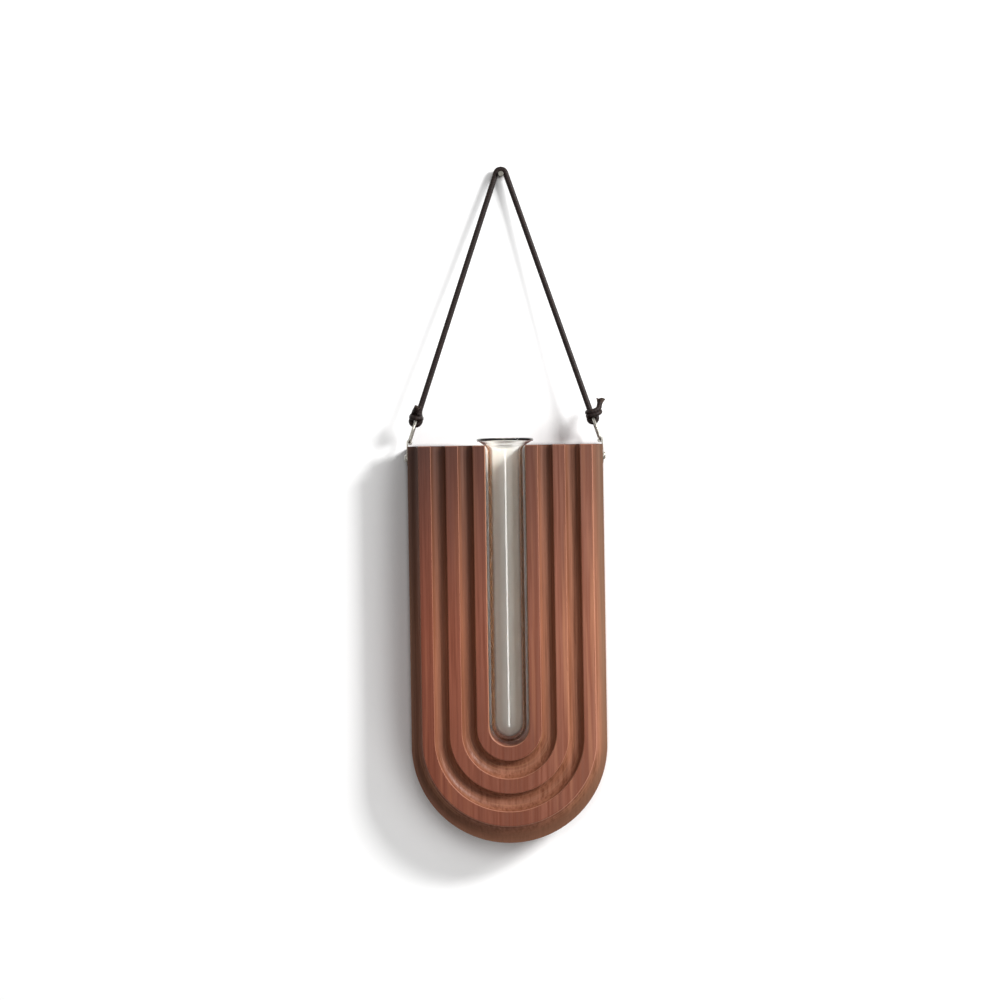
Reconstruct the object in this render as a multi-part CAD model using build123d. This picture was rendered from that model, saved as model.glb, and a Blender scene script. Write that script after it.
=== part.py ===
from build123d import *
import os
from math import asin, atan2, cos, degrees, pi, radians, sin, sqrt

# Hanging wall vase: a grooved wooden block whose open slot holds a glass test tube. A cord
# tied to a D-ring on each side face hangs it from one nail.
# Millimetres. +Z is up and -Y is the front. The wall's face is the plane Y = 0, and the
# origin is on the nail's axis at the wall's face.

# Wooden block
board_width = 100.0
board_height = 203.4
board_thickness = 30.0
board_top_drop = 141.4  # from the nail's axis down to the block's flat top
slot_width = 20.4
slot_floor_height = 49.8  # from the block's lowest point up to the slot's round floor
slot_lip_radius = 0.7  # easing of the slot's front edge
slot_seat_radius = 0.5  # easing of the two top edges that carry the glass
back_edge_radius = 0.8
ridge_edge_radius = 0.35
cove_depth = 3.4
border_cove_depth = 4.0

# Glass tube
tube_diameter = 18.0
tube_wall = 1.1
tube_rim_diameter = 29.4
rim_bead_diameter = 1.6
neck_radius = 4.0
neck_angle = 58.0  # how far the neck turns out from the vertical, in degrees
tube_seat_gap = 0.1
tube_floor_gap = 1.0

# Hanger straps and their screws
strap_width = 8.0
strap_gauge = 0.6
strap_foot = 3.9  # from the screw's axis down to the strap's end
strap_corner_radius = 3.4
eye_rise = 2.4  # from the block's flat top up to the eye's axis
eye_gap = 0.06
eye_wrap = 290.0  # how far the strap's end is rolled round, in degrees
screw_drop = 5.8  # from the block's flat top down to the screw's axis
screw_head_diameter = 4.0
screw_head_height = 1.2
screw_shank_diameter = 2.2
screw_length = 12.0
screw_point_length = 2.5
screw_head_edge_radius = 0.8
screw_hole_gap = 0.15
pilot_gap = 0.02
drive_width = 0.5
drive_length = 2.2
drive_depth = 0.6

# D-rings
ring_wire = 1.4
ring_width = 12.0  # between the centrelines of the two legs
ring_height = 12.0  # from the bar's centreline to the bow's
ring_corner_radius = 1.5

# Nail
nail_diameter = 2.0
nail_reach = 6.0  # bare shank in front of the wall
nail_head_diameter = 2.8
nail_head_thickness = 1.0
nail_head_edge_radius = 0.3
nail_root_diameter = 1.6
nail_root_length = 17.0
nail_point_length = 3.0

# Cord and knots
cord_diameter = 3.0
cord_stand_off = 4.2  # from the wall's face to the cord's centre at the nail
cord_gap = 0.05
knot_ring_gap = 0.15
knot_wrap_radius = 3.0  # to the centre of the cord in the two turns round the knot
knot_wrap_lean = 18.0  # degrees
knot_core_radius = 2.9
knot_neck = 0.6  # bare cord between the knot's top and its end face
left_tail_length = 4.8
left_tail_lean = 1.0  # outwards from the vertical, in degrees
left_tail_offset = 2.7  # from the ring's line to the tail's foot
right_tail_length = 6.4
right_tail_lean = 9.0
right_tail_offset = 4.4

# Cutting tools run past the wood by this much
overrun = 2.0

# Values that several pieces share
board_half = board_width / 2
board_top = -board_top_drop
board_bottom = board_top - board_height
board_front = -board_thickness
board_middle = -board_thickness / 2
slot_half = slot_width / 2
slot_floor = board_bottom + slot_floor_height
cord_radius = cord_diameter / 2
wire_radius = ring_wire / 2
eye_outer_radius = wire_radius + eye_gap + strap_gauge
eye_offset = board_half + strap_gauge - eye_outer_radius
eye_level = board_top + eye_rise
cord_turn_radius = nail_diameter / 2 + cord_gap + cord_radius

# The loaded ring points along its cord, so the cord's line touches the turn round the nail
# and passes through the eye. This is its angle from the vertical, seen from the front.
eye_distance = sqrt(eye_offset**2 + eye_level**2)
ring_lean = atan2(eye_offset, -eye_level) - asin(cord_turn_radius / eye_distance)


# The front has six bands on each side of the slot: ridge, cove, ridge, cove, ridge and the
# half cove of the border. They share the wood beside the slot and, in much the same way, the
# wood below it. Every band is wider below, so each band's edge is a U whose arc has its own
# centre.
side_band_shares = (0.16, 0.19, 0.16, 0.19, 0.16, 0.14)
lower_band_shares = (0.15, 0.186, 0.15, 0.186, 0.15, 0.178)
bands = [share * (board_half - slot_half) for share in side_band_shares]
bands_below = [share * slot_floor_height for share in lower_band_shares]


def edge_radius(k):
    """Half width of the U at the inner edge of band k, counted outwards from the slot."""
    return slot_half + sum(bands[:k])


def edge_centre(k):
    """Height of the arc centre of that U."""
    return slot_floor - sum(bands_below[:k]) + edge_radius(k)


def cove_profile(width):
    """Section of a cove with eased edges: across the band, and out of the wood."""
    half, ease = width / 2, ridge_edge_radius
    with BuildLine() as outline:
        RadiusArc((-half - ease, 0), (-half, -ease), ease)
        ThreePointArc((-half, -ease), (0, -cove_depth), (half, -ease))
        RadiusArc((half, -ease), (half + ease, 0), ease)
        Polyline(
            (half + ease, 0), (half + ease, overrun), (-half - ease, overrun), (-half - ease, 0)
        )
    return outline.wires()[0]


def border_profile(width):
    """Section of the border's half cove: steep at the ridge, level at the block's edge."""
    start, ease, end = -width / 2, ridge_edge_radius, width / 2
    with BuildLine() as outline:
        RadiusArc((start - ease, 0), (start, -ease), ease)
        TangentArc((end, -border_cove_depth), (start, -ease), tangent=(-1, 0))
        Polyline(
            (end, -border_cove_depth),
            (end + overrun, -border_cove_depth),
            (end + overrun, overrun),
            (start - ease, overrun),
            (start - ease, 0),
        )
    return outline.wires()[0]


def band_cutter(k, profile, section_count=13):
    """U-shaped cutter for band k: two straight legs and a round bend that widens below."""
    radius = (edge_radius(k) + edge_radius(k + 1)) / 2
    centre = (edge_centre(k) + edge_centre(k + 1)) / 2
    sections = []
    for i in range(section_count):
        turn = radians(-90 + 180 * i / (section_count - 1))
        across = (sin(turn), 0, -cos(turn))
        along = (-cos(turn), 0, -sin(turn))
        origin = (radius * sin(turn), board_front, centre - radius * cos(turn))
        width = bands[k] + (bands_below[k] - bands[k]) * cos(turn)
        plane = Plane(origin=origin, x_dir=across, z_dir=along)
        sections.append(Face(plane * profile(width)))
    bend = Solid.make_loft([face.outer_wire() for face in sections])
    leg_length = board_top + overrun - centre
    left_leg = extrude(sections[0], amount=leg_length, dir=(0, 0, 1))
    right_leg = extrude(sections[-1], amount=leg_length, dir=(0, 0, 1))
    return [bend, left_leg, right_leg]


def u_outline(half, centre, top):
    """Face of a U in the XZ plane, open end up: its half width, arc centre and top level."""
    with BuildSketch(Plane.XZ) as sketch:
        with BuildLine():
            Line((-half, top), (-half, centre))
            RadiusArc((-half, centre), (half, centre), -half)
            Line((half, centre), (half, top))
            Line((half, top), (-half, top))
        make_face()
    return sketch.sketch


def at_side(side):
    """Frame on a side face at the screw's axis: X points out of the wood, Z up."""
    return Plane(
        origin=(side * board_half, board_middle, board_top - screw_drop),
        x_dir=(0, side, 0),
        z_dir=(side, 0, 0),
    )


def make_board():
    body = extrude(
        u_outline(board_half, board_bottom + board_half, board_top), amount=board_thickness
    )
    back_edges = body.edges().filter_by_position(Axis.Y, 0, 0)
    body = fillet(back_edges, back_edge_radius)
    slot = extrude(
        u_outline(slot_half, slot_floor + slot_half, board_top + overrun),
        amount=board_thickness + 2 * overrun,
    )
    body -= Pos(0, overrun, 0) * slot
    top_edges = body.edges().filter_by(Axis.Y).group_by(Axis.Z)[-1]
    seat_edges = [e for e in top_edges if abs(abs(e.center().X) - slot_half) < slot_seat_radius]
    body = fillet(seat_edges, slot_seat_radius)
    front_edges = body.edges().filter_by_position(Axis.Y, board_front, board_front)
    slot_reach = slot_half + slot_seat_radius
    lip = [e for e in front_edges if e.bounding_box().max.X < slot_reach + ridge_edge_radius
           and e.bounding_box().min.X > -slot_reach - ridge_edge_radius]
    body = fillet(lip, slot_lip_radius)
    for cutter in band_cutter(1, cove_profile) + band_cutter(3, cove_profile):
        body -= cutter
    for cutter in band_cutter(5, border_profile):
        body -= cutter
    pilot_radius = screw_shank_diameter / 2 + pilot_gap
    for side in (-1, 1):
        pilot = Cylinder(
            pilot_radius, screw_length, align=(Align.CENTER, Align.CENTER, Align.MAX)
        )
        body -= at_side(side) * pilot
    return body


def at_ring(side):
    """Frame on the eye's axis: Z points along the ring towards the nail, X away from it."""
    return Plane(
        origin=(side * eye_offset, board_middle, eye_level),
        x_dir=(side * cos(ring_lean), 0, sin(ring_lean)),
        z_dir=(-side * sin(ring_lean), 0, cos(ring_lean)),
    )


def make_tube():
    """Test tube turned about its axis: round foot, straight wall, trumpet neck, rim bead."""
    outer = tube_diameter / 2
    inner = outer - tube_wall
    foot_centre = (0, slot_floor + tube_floor_gap + outer)
    seat_offset = outer + neck_radius - slot_half - slot_seat_radius
    seat_reach = neck_radius - slot_seat_radius - tube_seat_gap
    neck_start = board_top - slot_seat_radius - sqrt(seat_reach**2 - seat_offset**2)
    neck_centre = (outer + neck_radius, neck_start)
    turn = radians(neck_angle)
    outwards = Vector(sin(turn), cos(turn))
    middle_radius = neck_radius + tube_wall / 2
    bead_radius = rim_bead_diameter / 2
    cone_start = Vector(neck_centre) + Vector(-cos(turn), sin(turn)) * middle_radius
    cone_length = (tube_rim_diameter / 2 - bead_radius - cone_start.X) / outwards.X
    bead_centre = cone_start + outwards * cone_length
    with BuildSketch(Plane.XZ) as section:
        with BuildLine():
            foot = CenterArc(foot_centre, outer, -90, 90)
            Line(foot @ 1, (outer, neck_start))
            neck = CenterArc(neck_centre, neck_radius, 180, -neck_angle)
            cone = Line(neck @ 1, neck @ 1 + outwards * cone_length)
            inner_neck = CenterArc(
                neck_centre, neck_radius + tube_wall, 180 - neck_angle, neck_angle
            )
            inner_cone = Line(inner_neck @ 0 + outwards * cone_length, inner_neck @ 0)
            Line(cone @ 1, inner_cone @ 0)
            inner_foot = CenterArc(foot_centre, inner, 0, -90)
            Line(inner_neck @ 1, inner_foot @ 0)
            Line(inner_foot @ 1, foot @ 0)
        make_face()
        with Locations(bead_centre):
            Circle(bead_radius)
    print("tube: straight wall from", round(foot_centre[1], 3), "to", round(neck_start, 3))
    return Pos(0, board_middle, 0) * revolve(section.sketch, axis=Axis.Z)


def make_strap(side):
    """Sheet strap on a side face, its upper end rolled inwards into the ring's eye."""
    eye_centre = (screw_drop + eye_rise, strap_gauge - eye_outer_radius)
    eye_inner_radius = eye_outer_radius - strap_gauge
    with BuildSketch(Plane.YZ) as section:
        with BuildLine():
            roll = CenterArc(eye_centre, eye_outer_radius, 90, -eye_wrap)
            bore = CenterArc(eye_centre, eye_inner_radius, 90 - eye_wrap, eye_wrap)
            Line(roll @ 1, bore @ 0)
            Polyline(bore @ 1, (-strap_foot, 0), (-strap_foot, strap_gauge), roll @ 0)
        make_face()
    strap = extrude(section.sketch, amount=strap_width / 2, both=True)
    foot_corners = strap.edges().filter_by(Axis.Z).group_by(Axis.Y)[0]
    strap = fillet(foot_corners, strap_corner_radius)
    strap -= Cylinder(screw_shank_diameter / 2 + screw_hole_gap, strap_gauge + 2 * overrun)
    return at_side(side) * strap


def make_screw(side):
    """Pan head screw with a cross recess, driven through the strap into the wood."""
    head = Cylinder(
        screw_head_diameter / 2, screw_head_height, align=(Align.CENTER, Align.CENTER, Align.MIN)
    )
    head = fillet(head.edges().group_by(Axis.Z)[-1], screw_head_edge_radius)
    for turn in (45, 135):
        slot = Box(drive_length, drive_width, 2 * drive_depth)
        head -= Pos(0, 0, screw_head_height) * Rot(0, 0, turn) * slot
    shank_radius = screw_shank_diameter / 2
    with BuildSketch(Plane.XZ) as section:
        with BuildLine():
            Polyline(
                (0, 0),
                (shank_radius, 0),
                (shank_radius, screw_point_length - screw_length),
                (0, -screw_length),
                close=True,
            )
        make_face()
    screw = head + revolve(section.sketch, axis=Axis.Z)
    return at_side(side) * Pos(0, 0, strap_gauge) * screw


def make_ring(side):
    """D-ring of round wire: a straight bar in the eye, two legs and a half-round bow."""
    bow_radius = ring_width / 2
    bar_half = bow_radius - ring_corner_radius
    with BuildLine(Plane.YZ) as path:
        bar = Line((-bar_half, 0), (bar_half, 0))
        corner = CenterArc((bar_half, ring_corner_radius), ring_corner_radius, -90, 90)
        leg = Line(corner @ 1, (bow_radius, ring_height - bow_radius))
        bow = CenterArc((0, ring_height - bow_radius), bow_radius, 0, 180)
        far_leg = Line(bow @ 1, (-bow_radius, ring_corner_radius))
        CenterArc((-bar_half, ring_corner_radius), ring_corner_radius, 180, 90)
    start = Plane(origin=bar @ 0, z_dir=bar % 0)
    ring = sweep(start * Circle(wire_radius), path=path.wires()[0])
    return at_ring(side) * ring


def make_nail():
    """Lost-head nail turned about the Y axis, a little thinner where it sits in the wall."""
    head_radius = nail_head_diameter / 2
    head_back = -nail_reach
    head_front = head_back - nail_head_thickness
    edge = nail_head_edge_radius
    root_radius = nail_root_diameter / 2
    with BuildSketch() as section:
        with BuildLine():
            Polyline(
                (0, head_front),
                (head_radius - edge, head_front),
            )
            RadiusArc((head_radius - edge, head_front), (head_radius, head_front + edge), -edge)
            Polyline(
                (head_radius, head_front + edge),
                (head_radius, head_back - edge),
                (nail_diameter / 2, head_back),
                (nail_diameter / 2, 0),
                (root_radius, 0),
                (root_radius, nail_root_length),
                (0, nail_root_length + nail_point_length),
                (0, head_front),
            )
        make_face()
    return revolve(section.sketch, axis=Axis.Y)


# Heights along the ring's line, from the eye's axis
knot_loop_radius = wire_radius + knot_ring_gap + cord_radius
knot_wrap_level = ring_height + knot_loop_radius
knot_wrap_rise = knot_wrap_radius * sin(radians(knot_wrap_lean))
knot_top = knot_wrap_level + knot_wrap_rise + cord_radius
cord_start = knot_top + knot_neck


def make_knot(side, tail_length, tail_lean, tail_offset):
    """A loop round the ring's bow, two crossed turns above it and the cut tail."""
    loop = Pos(0, 0, ring_height) * Rot(90, 0, 0) * Torus(knot_loop_radius, cord_radius)
    core_bottom = ring_height + wire_radius + knot_ring_gap
    core = Pos(0, 0, core_bottom) * Cylinder(
        knot_core_radius,
        knot_wrap_level + cord_radius - core_bottom,
        align=(Align.CENTER, Align.CENTER, Align.MIN),
    )
    neck = Pos(0, 0, knot_wrap_level) * Cylinder(
        cord_radius, cord_start - knot_wrap_level, align=(Align.CENTER, Align.CENTER, Align.MIN)
    )
    knot = loop + core + neck
    for lean in (knot_wrap_lean, -knot_wrap_lean):
        knot += Pos(0, 0, knot_wrap_level) * Rot(0, lean, 0) * Torus(knot_wrap_radius, cord_radius)
    tail = Pos(tail_offset, 0, knot_wrap_level) * Rot(0, tail_lean + degrees(ring_lean), 0)
    knot += tail * Cylinder(
        cord_radius, tail_length, align=(Align.CENTER, Align.CENTER, Align.MIN)
    )
    return at_ring(side) * knot


def make_cord():
    """Taut cord from knot to knot over the nail, in a plane that leans away from the wall."""
    end = at_ring(1).from_local_coords((0, 0, cord_start))
    lean = atan2(-end.Y - cord_stand_off, -end.Z)
    plane = Plane(
        origin=(0, -cord_stand_off, 0), x_dir=(1, 0, 0), z_dir=(0, -cos(lean), sin(lean))
    )
    end_x = end.X
    end_y = end.Z / cos(lean)
    leg_lean = atan2(end_x, -end_y) - asin(cord_turn_radius / sqrt(end_x**2 + end_y**2))
    turn = degrees(leg_lean)
    along = Vector(-sin(leg_lean), cos(leg_lean))
    foot = Vector(end_x, end_y) - along * overrun
    with BuildLine(plane) as path:
        turn_arc = CenterArc((0, 0), cord_turn_radius, turn, 180 - 2 * turn)
        Line((foot.X, foot.Y), turn_arc @ 0)
        Line(turn_arc @ 1, (-foot.X, foot.Y))
    wire = path.wires()[0]
    start = Plane(origin=wire @ 0, z_dir=wire % 0)
    cord = sweep(start * Circle(cord_radius), path=wire)
    tube_volume = pi * cord_radius**2 * wire.length
    print("cord: length", round(wire.length - 2 * overrun, 1), "from knot to knot")
    print("cord: radius of the turn round the nail", round(cord_turn_radius, 2))
    print("cord: volume over section times length", round(cord.volume / tube_volume, 4))
    corner_x = cord_turn_radius * (1 - sin(leg_lean)) / cos(leg_lean)
    for point in ((end_x, end_y), (corner_x, cord_turn_radius)):
        print("cord: route point", [round(c, 2) for c in plane.from_local_coords(point)])
    for side in (-1, 1):
        cord = split(cord, bisect_by=at_ring(side).offset(cord_start), keep=Keep.TOP)
    return cord


export_parts = {
    "wall_nail": make_nail(),
    "wood_board": make_board(),
    "glass_tube": make_tube(),
    "hanging_cord": make_cord(),
    "cord_knot_left": make_knot(-1, left_tail_length, left_tail_lean, left_tail_offset),
    "cord_knot_right": make_knot(1, right_tail_length, right_tail_lean, right_tail_offset),
}
for side, name in ((-1, "left"), (1, "right")):
    export_parts[f"hanger_strap_{name}"] = make_strap(side)
    export_parts[f"hanger_screw_{name}"] = make_screw(side)
    export_parts[f"d_ring_{name}"] = make_ring(side)

os.makedirs("parts", exist_ok=True)
for name, shape in export_parts.items():
    export_step(shape, f"parts/{name}.step")
    print(name, "volume", round(shape.volume, 1), "solids", len(shape.solids()))
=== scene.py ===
# %% [markdown]
# # Hanging wall vase
# A grooved block of stained wood hangs flat on a white wall from one nail. A glass test tube
# sits in the slot of the block, and a dark waxed cord runs from ring to ring over the nail.
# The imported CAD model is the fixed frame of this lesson: its pieces stay where they are, and
# Blender gives them their finishes, the cord, the tied knots, the wall and the light.

# %% Load the frame
from math import cos, pi, radians, sin

import bpy
from mathutils import Matrix, Vector


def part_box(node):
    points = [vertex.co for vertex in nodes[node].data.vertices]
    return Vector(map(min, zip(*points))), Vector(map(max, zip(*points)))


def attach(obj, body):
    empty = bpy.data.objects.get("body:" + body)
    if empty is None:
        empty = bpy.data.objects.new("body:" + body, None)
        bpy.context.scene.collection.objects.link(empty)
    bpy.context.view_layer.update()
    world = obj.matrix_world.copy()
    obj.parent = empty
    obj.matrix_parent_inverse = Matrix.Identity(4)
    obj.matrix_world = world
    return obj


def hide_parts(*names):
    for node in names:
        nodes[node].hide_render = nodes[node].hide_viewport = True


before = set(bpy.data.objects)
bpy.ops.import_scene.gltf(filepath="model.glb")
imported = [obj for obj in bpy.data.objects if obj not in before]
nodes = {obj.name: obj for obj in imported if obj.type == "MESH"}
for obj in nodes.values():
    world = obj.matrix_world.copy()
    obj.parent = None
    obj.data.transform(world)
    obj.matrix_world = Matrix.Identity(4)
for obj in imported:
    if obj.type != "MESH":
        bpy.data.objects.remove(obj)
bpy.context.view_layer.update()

print("nodes:", ", ".join(sorted(nodes)))

# %% [markdown]
# Lengths in this lesson are written in millimetres, because that is how the object is drawn,
# and Blender works in metres. One value and one function keep the two apart. Colours are
# written as the hex values that a screen shows, and one function turns them to the linear
# values that a shader needs.

# %% Units and colours
MM = 0.001


def point(x, y, z):
    """A point given in millimetres, in Blender's metres."""
    return Vector((x, y, z)) * MM


def colour(hex_value):
    """Linear RGBA from an sRGB hex value such as #874B41."""
    channels = [int(hex_value[i:i + 2], 16) / 255 for i in (1, 3, 5)]
    linear = [c / 12.92 if c <= 0.04045 else ((c + 0.055) / 1.055) ** 2.4 for c in channels]
    return (*linear, 1.0)


print("1 mm is", MM, "m")

# %% [markdown]
# ## The camera
# The photograph was taken square to the wall from a little over a metre, the lens level.
# The object therefore shows almost no perspective, apart from the depth of its slot. The
# distance is worked out from how much smaller the back of the slot's floor looks than its
# front. The small roll is the lean that the hanging block has in the frame.

# %% Camera
CAMERA_DISTANCE = 1300.0  # mm from the wall's face
CAMERA_SIDE = -2.96  # mm from the nail
CAMERA_HEIGHT = -169.4  # mm from the nail
CAMERA_ROLL = 0.88  # degrees
SENSOR_WIDTH = 36.0  # mm, as is the focal length
FOCAL_LENGTH = 89.7

camera_data = bpy.data.cameras.new("camera")
camera_data.sensor_width = SENSOR_WIDTH
camera_data.lens = FOCAL_LENGTH
camera_data.dof.use_dof = False
camera = bpy.data.objects.new("camera", camera_data)
camera.location = point(CAMERA_SIDE, -CAMERA_DISTANCE, CAMERA_HEIGHT)
camera.rotation_euler = (radians(90), radians(CAMERA_ROLL), 0)
bpy.context.collection.objects.link(camera)
bpy.context.scene.camera = camera
print("camera at", tuple(round(c, 3) for c in camera.location))

# %% [markdown]
# ## One helper for shader nodes
# Every finish below is a small tree of shader nodes. This one function adds a node of any
# type, sets its settings and plain socket values, and links the sockets that get another
# node's output. A socket is named by its label, or by its number where labels repeat.

# %% Add a node


def add(tree, kind, settings=None, **sockets):
    """Adds a shader or geometry node with its settings, socket values and links."""
    node = tree.nodes.new(kind)
    for name, value in (settings or {}).items():
        setattr(node, name, value)
    for key, value in sockets.items():
        label = key.replace("_", " ")
        socket = node.inputs[int(key[1:])] if key[1:].isdigit() else node.inputs[label]
        if isinstance(value, bpy.types.NodeSocket):
            tree.links.new(value, socket)
        else:
            socket.default_value = value
    return node


def new_material(name):
    """An empty material with its output node, and the tree to build in."""
    material = bpy.data.materials.new(name)
    material.use_nodes = True
    tree = material.node_tree
    tree.nodes.clear()
    return material, tree, tree.nodes.new("ShaderNodeOutputMaterial")


# %% [markdown]
# ## A cord swept along a path
# The hanging cord and its two knots are one length of round waxed cord. Bending a cylinder
# along such a line would be slow by hand, so a Geometry Nodes tree sweeps a circle along any
# path, with the diameter and the spacing of the rings as inputs. It also stores two
# attributes on the tube, how far along and where around each point lies, because the braid
# of the cord has to follow the surface through every turn of the knots.
# A tree needs named inputs and one output before anything else, so a helper opens it.

# %% Open a tree


def new_tree(name, inputs):
    """A Geometry Nodes tree with named inputs, as (tree, its inputs, its output)."""
    tree = bpy.data.node_groups.new(name, "GeometryNodeTree")
    tree.interface.new_socket("Geometry", in_out="INPUT", socket_type="NodeSocketGeometry")
    for label, kind in inputs:
        tree.interface.new_socket(label, in_out="INPUT", socket_type="NodeSocket" + kind)
    tree.interface.new_socket("Geometry", in_out="OUTPUT", socket_type="NodeSocketGeometry")
    given = tree.nodes.new("NodeGroupInput").outputs
    return tree, given, tree.nodes.new("NodeGroupOutput").inputs["Geometry"]


# %% [markdown]
# The cord tree makes a line of evenly spaced rings out of the path and notes how far along
# each one is. It notes on the circle where around its points are, and sweeps the two.

# %% The cord tree
CORD_DIAMETER = 3.0 * MM

cord_tree, given, result = new_tree("cord_along_a_path", [
    ("Diameter", "Float"),
    ("Ring spacing", "Float"),
    ("Sides", "Int"),
    ("Finish", "Material"),
])
line = add(cord_tree, "GeometryNodeMeshToCurve", _0=given["Geometry"])
rings = add(cord_tree, "GeometryNodeResampleCurve", {"mode": "LENGTH"},
            Curve=line.outputs[0], Length=given["Ring spacing"])
place = add(cord_tree, "GeometryNodeSplineParameter")
along = add(cord_tree, "GeometryNodeStoreNamedAttribute", {"data_type": "FLOAT"},
            Geometry=rings.outputs[0], Name="along", Value=place.outputs["Length"])
radius = add(cord_tree, "ShaderNodeMath", {"operation": "MULTIPLY"},
             _0=given["Diameter"], _1=0.5)
circle = add(cord_tree, "GeometryNodeCurvePrimitiveCircle",
             Resolution=given["Sides"], Radius=radius.outputs[0])
where = add(cord_tree, "GeometryNodeInputPosition")
around = add(cord_tree, "GeometryNodeStoreNamedAttribute", {"data_type": "FLOAT_VECTOR"},
             Geometry=circle.outputs[0], Name="around", Value=where.outputs[0])
tube = add(cord_tree, "GeometryNodeCurveToMesh", Curve=along.outputs[0],
           Profile_Curve=around.outputs[0], Fill_Caps=True)
smooth = add(cord_tree, "GeometryNodeSetShadeSmooth", Geometry=tube.outputs[0])
real = add(cord_tree, "GeometryNodeRealizeInstances", Geometry=smooth.outputs[0])
dressed = add(cord_tree, "GeometryNodeSetMaterial", Geometry=real.outputs[0],
              Material=given["Finish"])
cord_tree.links.new(dressed.outputs[0], result)
print("cord tree has", len(cord_tree.nodes), "nodes")

# %% [markdown]
# A path is a smooth NURBS line through a few points, read back as a row of vertices. A
# second helper runs a tree on a mesh and keeps the result as a plain object with no
# modifier, because only plain meshes ride on the bodies of the frame and reach the export.

# %% Paths and plain pieces


def path_through(name, points):
    """The smooth line that has these points as its control points, as a mesh of edges."""
    curve = bpy.data.curves.new(name, "CURVE")
    curve.dimensions = "3D"
    curve.resolution_u = 16
    spline = curve.splines.new("NURBS")
    spline.points.add(len(points) - 1)
    for knot, place in zip(spline.points, points):
        knot.co = (*place, 1)
    spline.order_u = 3
    spline.use_endpoint_u = True
    drawn = bpy.data.objects.new(name, curve)
    bpy.context.collection.objects.link(drawn)
    seen = drawn.evaluated_get(bpy.context.evaluated_depsgraph_get())
    mesh = bpy.data.meshes.new_from_object(seen)
    bpy.data.objects.remove(drawn)
    return mesh


def made_by(tree, name, mesh, sizes):
    """What the tree makes of a mesh, as a plain object at the origin."""
    source = bpy.data.objects.new(name + "_source", mesh)
    bpy.context.collection.objects.link(source)
    modifier = source.modifiers.new(name, "NODES")
    modifier.node_group = tree
    for item in tree.interface.items_tree:
        if item.in_out == "INPUT" and item.name in sizes:
            modifier[item.identifier] = sizes[item.name]
    seen = source.evaluated_get(bpy.context.evaluated_depsgraph_get())
    piece = bpy.data.objects.new(name, bpy.data.meshes.new_from_object(seen))
    bpy.data.objects.remove(source)
    bpy.context.collection.objects.link(piece)
    print(name, "has", len(piece.data.polygons), "faces")
    return piece


# %% [markdown]
# ## Waxed cotton cord
# The cord is braided cotton, dyed a brown that is almost black and drawn through wax. The
# wax closes the braid, so the eye gets a dark, slightly shiny line with a faint slanting
# weave. The braid is two sets of sine waves that wind round the cord in opposite
# directions. The real plait is about 0.5 mm wide, and here it is drawn twice as coarse,
# because the finer one would not show at the size of the picture.

# %% Braid of the cord
BRAID_WAVES = 6.0  # once around the cord
BRAID_RISE = 2.6 * MM  # along the cord from one crossing to the next

waxed_cotton, tree, output = new_material("waxed_cotton_cord")
around = add(tree, "ShaderNodeAttribute", {"attribute_name": "around"})
along = add(tree, "ShaderNodeAttribute", {"attribute_name": "along"})
across = add(tree, "ShaderNodeSeparateXYZ", Vector=around.outputs["Vector"])
angle = add(tree, "ShaderNodeMath", {"operation": "ARCTAN2"},
            _0=across.outputs["Y"], _1=across.outputs["X"])
turns = add(tree, "ShaderNodeMath", {"operation": "MULTIPLY"},
            _0=angle.outputs[0], _1=BRAID_WAVES)
rise = add(tree, "ShaderNodeMath", {"operation": "MULTIPLY"},
           _0=along.outputs["Fac"], _1=2 * pi / BRAID_RISE)
waves = []
for operation in ("ADD", "SUBTRACT"):
    phase = add(tree, "ShaderNodeMath", {"operation": operation},
                _0=rise.outputs[0], _1=turns.outputs[0])
    waves.append(add(tree, "ShaderNodeMath", {"operation": "SINE"}, _0=phase.outputs[0]))
braid = add(tree, "ShaderNodeMath", {"operation": "MULTIPLY"},
            _0=waves[0].outputs[0], _1=waves[1].outputs[0])
height = add(tree, "ShaderNodeMapRange", Value=braid.outputs[0], From_Min=-1.0, From_Max=1.0)
print("braid of", BRAID_WAVES, "waves around")

# %% [markdown]
# The hollows of the braid get a painted shade and are darker than its crowns. In some spots
# the wax is rubbed off and the cotton looks browner, and the same noise makes the sheen
# uneven.

# %% Surface of the cord
spots = add(tree, "ShaderNodeTexCoord")
wax = add(tree, "ShaderNodeTexNoise", Vector=spots.outputs["Object"],
          Scale=1 / (1.4 * MM), Detail=3.0)
# painted shade: the hollows of the braid (#0B0808) are darker than its crowns (#2B1F1C)
threads = add(tree, "ShaderNodeMix", {"data_type": "RGBA"}, _0=height.outputs[0],
              _6=colour("#0B0808"), _7=colour("#2B1F1C"))
worn = add(tree, "ShaderNodeMapRange", Value=wax.outputs[0], From_Min=0.55, From_Max=0.75,
           To_Max=0.35)
shade = add(tree, "ShaderNodeMix", {"data_type": "RGBA"}, _0=worn.outputs[0],
            _6=threads.outputs[2], _7=colour("#4C3B33"))
gloss = add(tree, "ShaderNodeMapRange", Value=wax.outputs[0], From_Min=0.3, From_Max=0.7,
            To_Min=0.42, To_Max=0.62)
relief = add(tree, "ShaderNodeBump", Strength=0.7, Distance=0.12 * MM,
             Height=height.outputs[0])
surface = add(tree, "ShaderNodeBsdfPrincipled", Base_Color=shade.outputs[2],
              Roughness=gloss.outputs[0], Specular_IOR_Level=0.15, Normal=relief.outputs[0])
tree.links.new(surface.outputs[0], output.inputs["Surface"])
print("waxed cotton has", len(tree.nodes), "nodes")

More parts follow.
